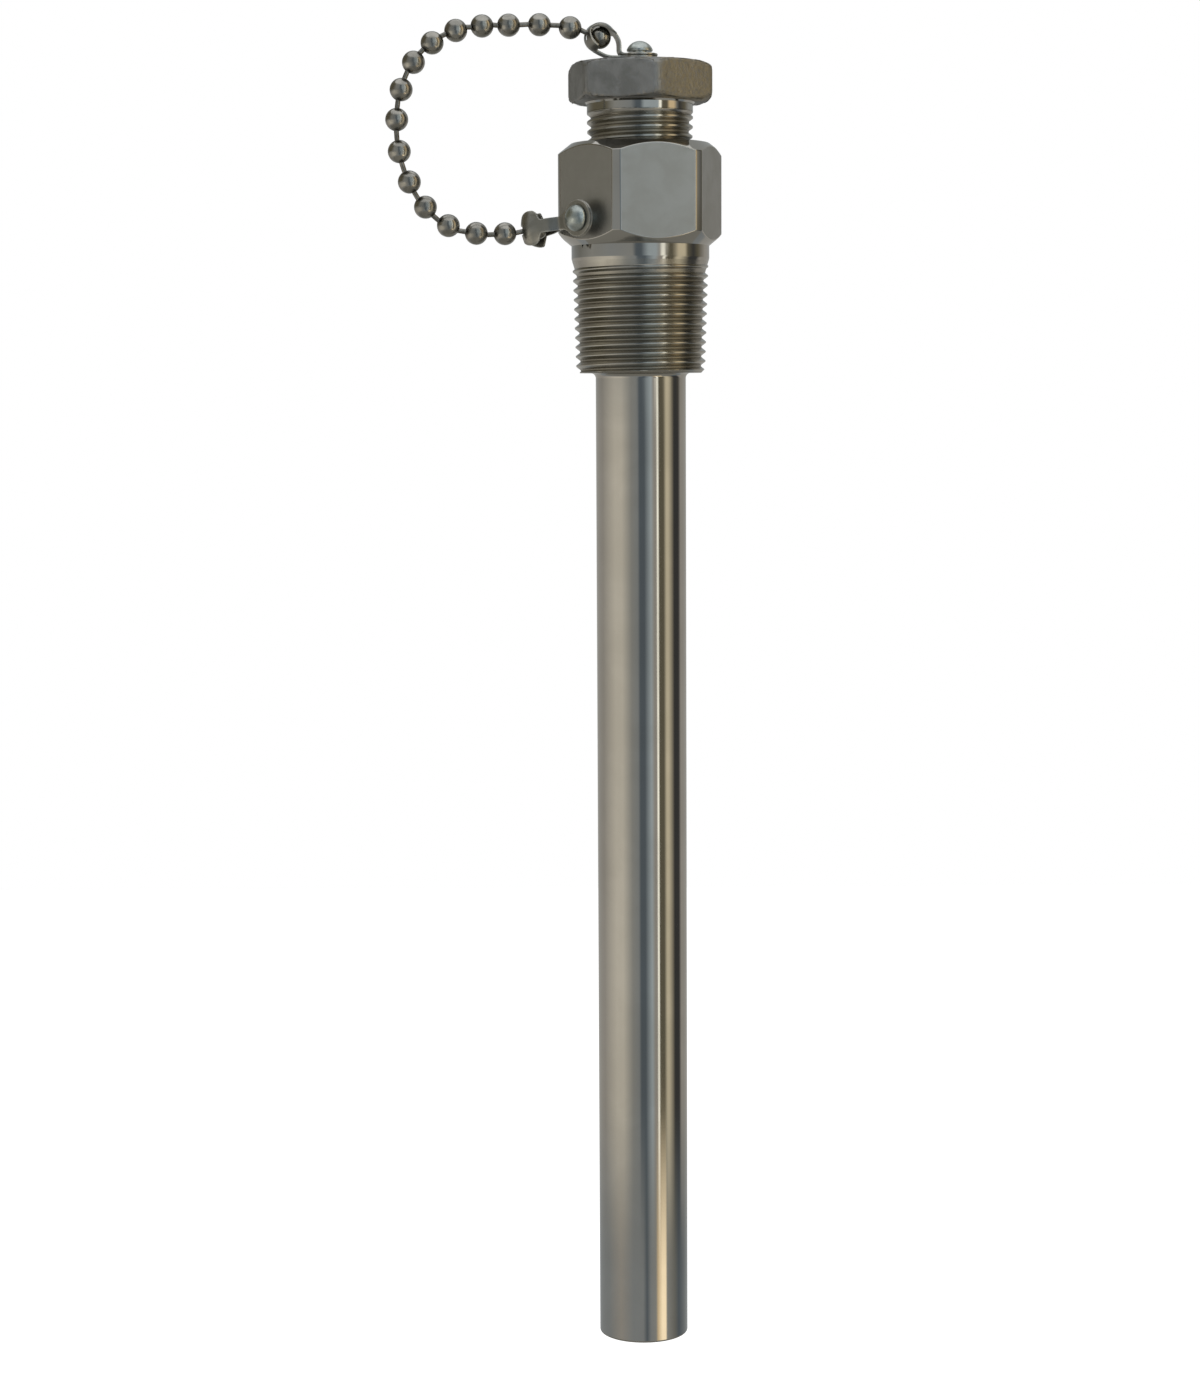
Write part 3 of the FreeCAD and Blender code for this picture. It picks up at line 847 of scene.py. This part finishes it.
def rivet(name, where):
    """A domed rivet pointing up, moved to its place by a matrix."""
    rise = rivet_head_height - rivet_rim
    ball = (rivet_head_radius**2 + rise**2) / (2 * rise)
    half = math.degrees(math.asin(rivet_head_radius / ball))
    dome = [(r, z) for r, z in arc((0, rivet_head_height - ball), ball, 90 - half, 90, 12)]
    dome[-1] = (0, rivet_head_height)
    mesh = lathe(name, [
        (0, -rivet_length), (rivet_shank_radius / 2, -rivet_length),
        (rivet_shank_radius, -rivet_length + rivet_shank_radius / 2), (rivet_shank_radius, 0),
        (rivet_head_radius - rivet_edge, 0), (rivet_head_radius, rivet_edge), *dome,
    ], 48)
    mesh.transform(where)
    return piece(name, [mesh], [zinc], crease=40)


plug_rivet_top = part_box("plug_rivet")[1].z
plug_rivet = rivet(
    "plug_rivet_head", Matrix.Translation((0, 0, plug_rivet_top - rivet_head_height))
)
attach(plug_rivet, "plug")
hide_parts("plug_rivet")

out = Vector((math.cos(body_flat_azimuth), math.sin(body_flat_azimuth), 0))
body_rivet_foot = out * (body_across_flats / 2 + body_rivet_standoff)
body_rivet = rivet(
    "body_rivet_head",
    Matrix.Translation(body_rivet_foot + Vector((0, 0, body_rivet_height)))
    @ out.to_track_quat("Z", "Y").to_matrix().to_4x4(),
)
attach(body_rivet, "well")
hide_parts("body_rivet")


# Clasps. Each is one strip of plated sheet: an eyelet, a leg, a dish folded round the
# chain's last bead with a slot for its link, a second leg and a second eyelet.
sheet = 0.40 * MM
sheet_edge = 0.07 * MM
strip_thinner = 0.02 * MM
strap_half = 1.275 * MM
leg_start = 2.1 * MM
leg_step = 0.3 * MM
leg_level = 0.4 * MM
root_widening = 1.3 * MM
root_reach = 2.6 * MM
bend_steps = 6
eyelet_radius = 3.45 * MM
eyelet_hole = 1.56 * MM
eyelet_edge = 0.08 * MM
eyelet_middle = 0.25 * MM
dish_radius = 2.64 * MM
dish_curve = 0.65 * MM
dish_half = 3.25 * MM
dish_crown_half = 1.66 * MM
dish_runs = (1.6 * MM, 0.6 * MM)
dish_angles = range(98, 0, -4)
dish_full_angle = 88
slot_half = 0.85 * MM
slot_share = 0.66
slot_reach = 52
plug_eyelet_lift = 1.36 * MM
body_eyelet_lift = 2.46 * MM
body_clasp_swivel = math.radians(9)

clasp_steel = metal(
    "clasp sheet", (0.36, 0.355, 0.325), (0.27, 0.265, 0.235), 0.34,
    "turned", {"Along": 700.0, "Around": 2500.0}, 4e-6, 3 * MM, worn=(0.66, 0.65, 0.60),
)


def middle_of(node):
    """The middle of a CAD node's box, which for a bead is its own middle."""
    low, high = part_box(node)
    return (low + high) / 2


def clasp_path(ball, tilt, upper_bends, lower_bends, bend_room):
    """The strip's middle line as (spot, half width, inward, sunk, in the slot), all the way
    round; sunk is how far the edges of the dish curve in towards the bead."""
    ball = Vector(ball)
    path = []
    for side, bends, dish_run in ((1, upper_bends, dish_runs[0]), (-1, lower_bends, dish_runs[1])):
        turns = [math.radians(tilt + side * degrees) for degrees in dish_angles]
        dish = [ball + dish_radius * Vector((math.cos(turn), math.sin(turn))) for turn in turns]
        root = Vector((leg_start, side * eyelet_middle))
        corners = [root, *map(Vector, reversed(bends)), dish[0]]
        leg = [corners[0]]
        for before, corner, after in zip(corners, corners[1:], corners[2:]):
            to, on = corner - before, after - corner
            back = min(bend_room, 0.45 * to.length, 0.45 * on.length)
            one, other = corner - to.normalized() * back, corner + on.normalized() * back
            for share in (k / bend_steps for k in range(bend_steps + 1)):
                leg.append(one.lerp(corner, share).lerp(corner.lerp(other, share), share))
        leg.append(dish[0])
        fine = []
        for start, end in zip(leg, leg[1:]):
            count = max(1, round((end - start).length / leg_step))
            fine += [start.lerp(end, k / count) for k in range(count)]
        rows = []
        for spot, after in zip(fine, fine[1:] + dish[:1]):
            near = max(0, 1 - max(0, spot.x - leg_start) / root_reach)
            level = abs(abs(spot.y) - eyelet_middle) < leg_level
            past = min(1, (spot - dish[0]).length / dish_run)
            fall = math.sqrt(1 - past * past)
            half = strap_half + root_widening * near**2 * level + (dish_half - strap_half) * fall
            along = (after - spot).normalized()
            inward = Vector((along.y, -along.x)) * side
            rows.append((spot, half, inward, dish_curve * fall, False))
        for degrees, spot in zip(dish_angles, dish):
            share = math.sin(min(1, degrees / dish_full_angle) * math.pi / 2)
            half = dish_crown_half + (dish_half - dish_crown_half) * share
            rows.append((spot, half, (ball - spot).normalized(), dish_curve, degrees < slot_reach))
        path = rows if side > 0 else path + list(reversed(rows))
    return path


def clasp(name, ball, tilt, upper_bends, lower_bends, bend_room, where):
    """A clasp about its rivet's axis, as a folded strip and two eyelets, put in its place."""
    made = bmesh.new()
    rows = []
    path = clasp_path(ball, tilt, upper_bends, lower_bends, bend_room)
    for spot, half, inward, sunk, slotted in path:
        inner = min(slot_half, half * slot_share)
        across = [-half, -(2 * half + inner) / 3, -(half + 2 * inner) / 3, -inner, 0]
        across += [-width for width in reversed(across[:-1])]
        row = []
        for width in across:
            place = spot + inward * sunk * (width / dish_half) ** 2
            row.append(made.verts.new((place.x, width, place.y)))
        rows.append((row, slotted))
    for (low, low_slotted), (high, high_slotted) in zip(rows, rows[1:]):
        for k in range(len(low) - 1):
            if not (low_slotted and high_slotted and k in (3, 4)):
                made.faces.new((low[k], low[k + 1], high[k + 1], high[k]))
    bmesh.ops.recalc_face_normals(made, faces=made.faces[:])
    strip = bpy.data.meshes.new(name + " strip")
    made.to_mesh(strip)
    made.free()
    work = added(name, strip)
    thickness = work.modifiers.new("thickness", "SOLIDIFY")
    thickness.thickness = sheet - strip_thinner
    thickness.offset = 0
    thickness.use_even_offset = True
    rounding = work.modifiers.new("rounding", "BEVEL")
    rounding.width = sheet_edge
    rounding.segments = 2
    rounding.limit_method = "ANGLE"
    rounding.angle_limit = math.radians(50)
    meshes = [evaluated_mesh(work)]
    bpy.data.objects.remove(work)
    for side in (1, -1):
        low, high = side * eyelet_middle - sheet / 2, side * eyelet_middle + sheet / 2
        meshes.append(lathe(name + " eyelet", [
            (eyelet_hole, low), (eyelet_radius - eyelet_edge, low),
            (eyelet_radius, low + eyelet_edge), (eyelet_radius, high - eyelet_edge),
            (eyelet_radius - eyelet_edge, high), (eyelet_hole, high), (eyelet_hole, low),
        ], 64))
    for mesh in meshes:
        mesh.transform(where)
    return piece(name, meshes, [clasp_steel], crease=40)


chain_end = middle_of("bead_17")
chain_azimuth = math.atan2(chain_end.y, chain_end.x)
plug_clasp = clasp(
    "plug_clasp_sheet", (7.94 * MM, 3.36 * MM), 38,
    [(4.10 * MM, 3.0 * MM), (4.10 * MM, eyelet_middle)], [(6.75 * MM, -eyelet_middle)], 1.3 * MM,
    Matrix.Translation((0, 0, plug_top + plug_eyelet_lift))
    @ Matrix.Rotation(chain_azimuth, 4, "Z"),
)
body_clasp = clasp(
    "body_clasp_sheet", (10.8 * MM, 0.95 * MM), 20,
    [(6.5 * MM, 1.70 * MM), (5.0 * MM, eyelet_middle)],
    [(8.55 * MM, -1.40 * MM), (5.15 * MM, -eyelet_middle)], 0.4 * MM,
    Matrix.Translation(
        out * (body_across_flats / 2 + body_eyelet_lift) + Vector((0, 0, body_rivet_height))
    )
    @ Matrix.Rotation(body_flat_azimuth - math.pi / 2, 4, "Z")
    @ Matrix.Rotation(-math.pi / 2, 4, "X")
    @ Matrix.Rotation(body_clasp_swivel, 4, "Z"),
)
for made, node in ((plug_clasp, "plug_clasp"), (body_clasp, "body_clasp")):
    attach(made, node)
    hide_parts(node)


# Chain. Hollow beads rolled from sheet, threaded on loose pins whose knobs sit inside
# them; the steel is dull, with painted shade round the holes and on the inside wall.
bead_radius = 2.18 * MM
bead_wall = 0.3 * MM
bead_hole = 0.66 * MM
link_radius = 0.475 * MM
knob_radius = 0.72 * MM
link_span = 3.93 * MM


def laid_along(tree, geometry, given):
    """What a tree made about Z, turned to its axis and moved to its middle."""
    aimed = put(tree, "FunctionNodeAlignRotationToVector", {"Vector": given["Axis"]}, axis="Z")
    return put(tree, "GeometryNodeTransform", {
        "Geometry": geometry, "Translation": given["Middle"], "Rotation": aimed.outputs[0],
    }).outputs[0]


def hollow_bead():
    """A hollow bead with a hole at either end, about an axis, as one closed wall."""
    tree, given, result = node_tree("hollow bead", "GeometryNodeTree", [
        ("Radius", "Float", 0.00235), ("Wall", "Float", 0.0003), ("Hole", "Float", 0.00065),
        ("Rows", "Int", 14), ("Sides", "Int", 28), ("Middle", "Vector", (0, 0, 0)),
        ("Axis", "Vector", (0, 0, 1)), ("Material", "Material", None),
    ], [("Geometry", "Geometry")])
    calc = calculator(tree)
    loop = calc("MULTIPLY", given["Rows"], 2.0)
    grid = put(tree, "GeometryNodeMeshGrid", {
        "Size X": 1.0, "Size Y": 1.0, "Vertices X": calc("ADD", loop, 1.0),
        "Vertices Y": calc("ADD", given["Sides"], 1.0),
    })
    place = put(tree, "GeometryNodeInputPosition").outputs[0]
    place = put(tree, "ShaderNodeSeparateXYZ", {0: place}).outputs
    row = calc("ROUND", calc("MULTIPLY", calc("ADD", place["X"], 0.5), loop))
    row = calc("FLOORED_MODULO", row, loop)
    inside = calc("GREATER_THAN", row, calc("SUBTRACT", given["Rows"], 0.5))
    step = calc("SUBTRACT", row, calc("MULTIPLY", inside, given["Rows"]))
    share = calc("DIVIDE", step, calc("SUBTRACT", given["Rows"], 1.0))
    share = calc("ABSOLUTE", calc("SUBTRACT", share, inside))
    radius = calc("SUBTRACT", given["Radius"], calc("MULTIPLY", inside, given["Wall"]))
    edge = calc("ARCSINE", calc("DIVIDE", given["Hole"], radius))
    sweep = calc("MULTIPLY_ADD", edge, -2.0, math.pi)
    fall = calc("MULTIPLY_ADD", share, sweep, edge)
    turn = calc("MULTIPLY", calc("ADD", place["Y"], 0.5), 2 * math.pi)
    reach = calc("MULTIPLY", radius, calc("SINE", fall))
    spot = put(tree, "ShaderNodeCombineXYZ", {
        0: calc("MULTIPLY", reach, calc("COSINE", turn)),
        1: calc("MULTIPLY", reach, calc("SINE", turn)),
        2: calc("MULTIPLY", radius, calc("COSINE", fall)),
    })
    # Rim: 1 on the inside wall and rising to 1 near each hole, where the bead steel paints shade.
    rim = put(tree, "ShaderNodeMapRange", {
        "Value": calc("ABSOLUTE", calc("MULTIPLY_ADD", share, 2.0, -1.0)),
        "From Min": 0.74, "From Max": 1.0,
    }).outputs[0]
    marked = put(tree, "GeometryNodeStoreNamedAttribute", {
        "Geometry": grid.outputs["Mesh"], "Name": "rim", "Value": calc("MAXIMUM", rim, inside),
    }, data_type="FLOAT", domain="POINT")
    laid = laid_along(tree, welded_at(tree, marked.outputs[0], spot.outputs[0]), given)
    tree.links.new(made_real(tree, laid, given["Material"]), result["Geometry"])
    return tree


def knobbed_link():
    """A pin with a knob at either end, about an axis."""
    tree, given, result = node_tree("knobbed link", "GeometryNodeTree", [
        ("Span", "Float", 0.0035), ("Pin", "Float", 0.000475), ("Knob", "Float", 0.00075),
        ("Sides", "Int", 16), ("Middle", "Vector", (0, 0, 0)), ("Axis", "Vector", (0, 0, 1)),
        ("Material", "Material", None),
    ], [("Geometry", "Geometry")])
    calc = calculator(tree)
    pin = put(tree, "GeometryNodeMeshCylinder", {
        "Vertices": given["Sides"], "Radius": given["Pin"], "Depth": given["Span"],
    }, fill_type="NONE")
    parts = [pin.outputs["Mesh"]]
    for end in (-0.5, 0.5):
        ball = put(tree, "GeometryNodeMeshUVSphere", {
            "Segments": given["Sides"], "Rings": 10, "Radius": given["Knob"],
        })
        lift = put(tree, "ShaderNodeCombineXYZ", {2: calc("MULTIPLY", given["Span"], end)})
        parts.append(put(tree, "GeometryNodeTransform", {
            "Geometry": ball.outputs["Mesh"], "Translation": lift.outputs[0],
        }).outputs[0])
    joined = put(tree, "GeometryNodeJoinGeometry")
    for part in parts:
        tree.links.new(part, joined.inputs[0])
    laid = laid_along(tree, joined.outputs[0], given)
    tree.links.new(made_real(tree, laid, given["Material"]), result["Geometry"])
    return tree


# Painted shade: near-black round the holes and on the inside wall, where the attribute rim says.
bead_finish = metal(
    "bead steel", (0.40, 0.39, 0.355), (0.28, 0.275, 0.25), 0.20,
    "cast", {"Pebble": 0.0005, "Pits": 0.25}, 0.010 * MM, 1.8 * MM, spread=0.12,
    painted_shade=("rim", (0.10, 0.096, 0.085)),
)
link_finish = metal(
    "link steel", (0.28, 0.27, 0.245), (0.18, 0.175, 0.155), 0.36,
    "turned", {"Along": 3000.0, "Around": 3000.0}, 2e-6, 1.5 * MM,
)
bead_tree, link_tree = hollow_bead(), knobbed_link()

bead_names = sorted(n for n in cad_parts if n.startswith("bead_"))
link_names = sorted(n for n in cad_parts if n.startswith("link_"))
bead_middles = [middle_of(n) for n in bead_names]
headings = [(b - a).normalized() for a, b in zip(bead_middles, bead_middles[1:])]
bead_axes = [headings[0]]
bead_axes += [(a + b).normalized() for a, b in zip(headings, headings[1:])]
bead_axes += [headings[-1]]
wall_middle = bead_radius - bead_wall / 2

for node, middle, axis in zip(bead_names, bead_middles, bead_axes):
    made = piece(node + "_shell", [grown(bead_tree, {
        "Radius": bead_radius, "Wall": bead_wall, "Hole": bead_hole, "Middle": middle,
        "Axis": axis, "Material": bead_finish,
    })], [bead_finish], crease=50)
    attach(made, node)
    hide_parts(node)

for k, node in enumerate(link_names):
    near = bead_middles[k] + bead_axes[k] * wall_middle
    far = bead_middles[k + 1] - bead_axes[k + 1] * wall_middle
    made = piece(node + "_pin", [grown(link_tree, {
        "Span": link_span, "Pin": link_radius, "Knob": knob_radius,
        "Middle": (near + far) / 2, "Axis": (far - near).normalized(), "Material": link_finish,
    })], [link_finish], crease=40)
    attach(made, node)
    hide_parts(node)
